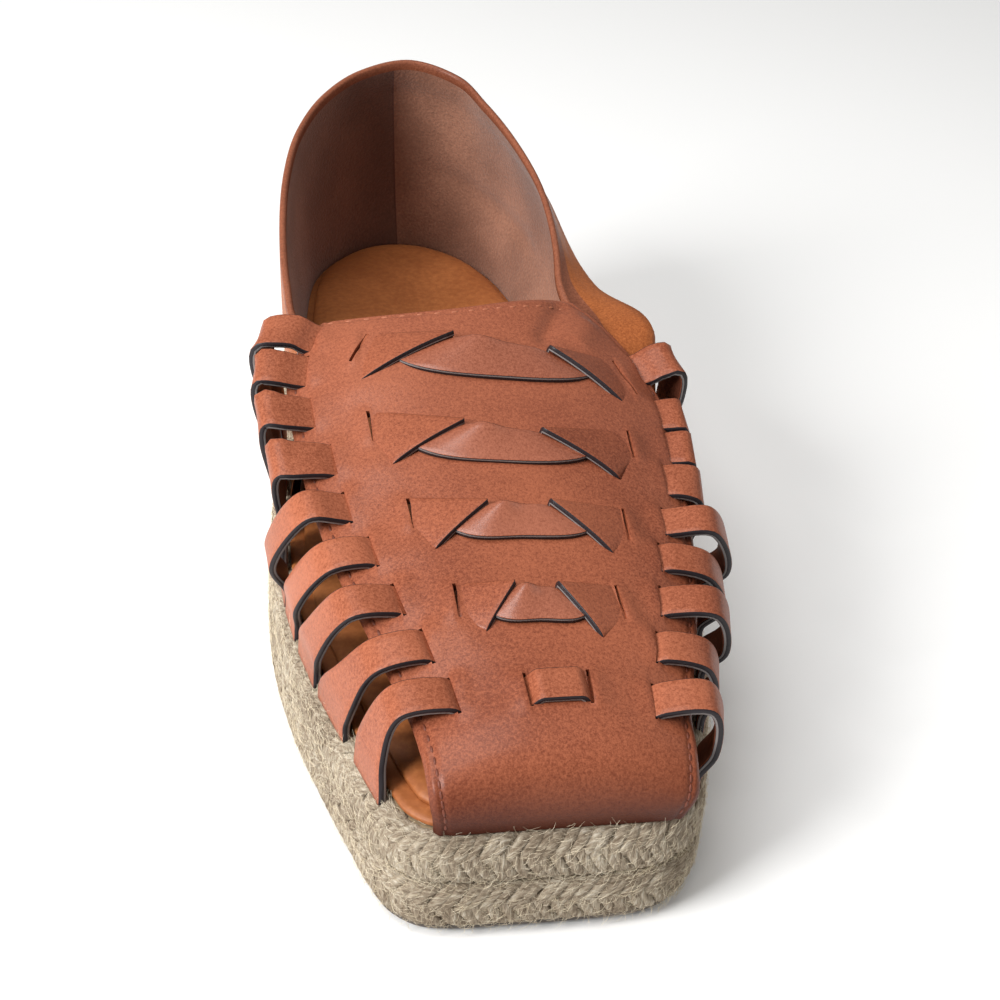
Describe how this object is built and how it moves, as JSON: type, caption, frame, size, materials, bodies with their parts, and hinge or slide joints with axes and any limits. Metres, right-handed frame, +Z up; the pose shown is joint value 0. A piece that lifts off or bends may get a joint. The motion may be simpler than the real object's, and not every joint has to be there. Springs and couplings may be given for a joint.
{
  "type": "espadrille",
  "caption": "Square-toed woven leather slip-on espadrille with looped side straps and twisted ribbons on a plaited jute platform sole.",
  "frame": {"origin": "on the floor under the middle of the shoe's box", "axes": "+Z up, toe towards -Y, heel towards +Y, inner side of the foot towards -X"},
  "size_m": [0.106, 0.2624, 0.0932],
  "materials": {
    "leather": "smooth grained cognac leather with a soft sheen and dark cut edges",
    "insole_leather": "smooth ochre lining leather",
    "jute": "natural plaited jute, fuzzy and matt",
    "tread": "thin dark matt rubber"
  },
  "bodies": {
    "root": {"outsole": "tread", "jute_sole": "jute", "insole": "insole_leather", "upper": "leather", "ribbon_1": "leather", "ribbon_2": "leather", "ribbon_3": "leather", "ribbon_4": "leather", "toe_bar": "leather"}
  },
  "joints": []
}
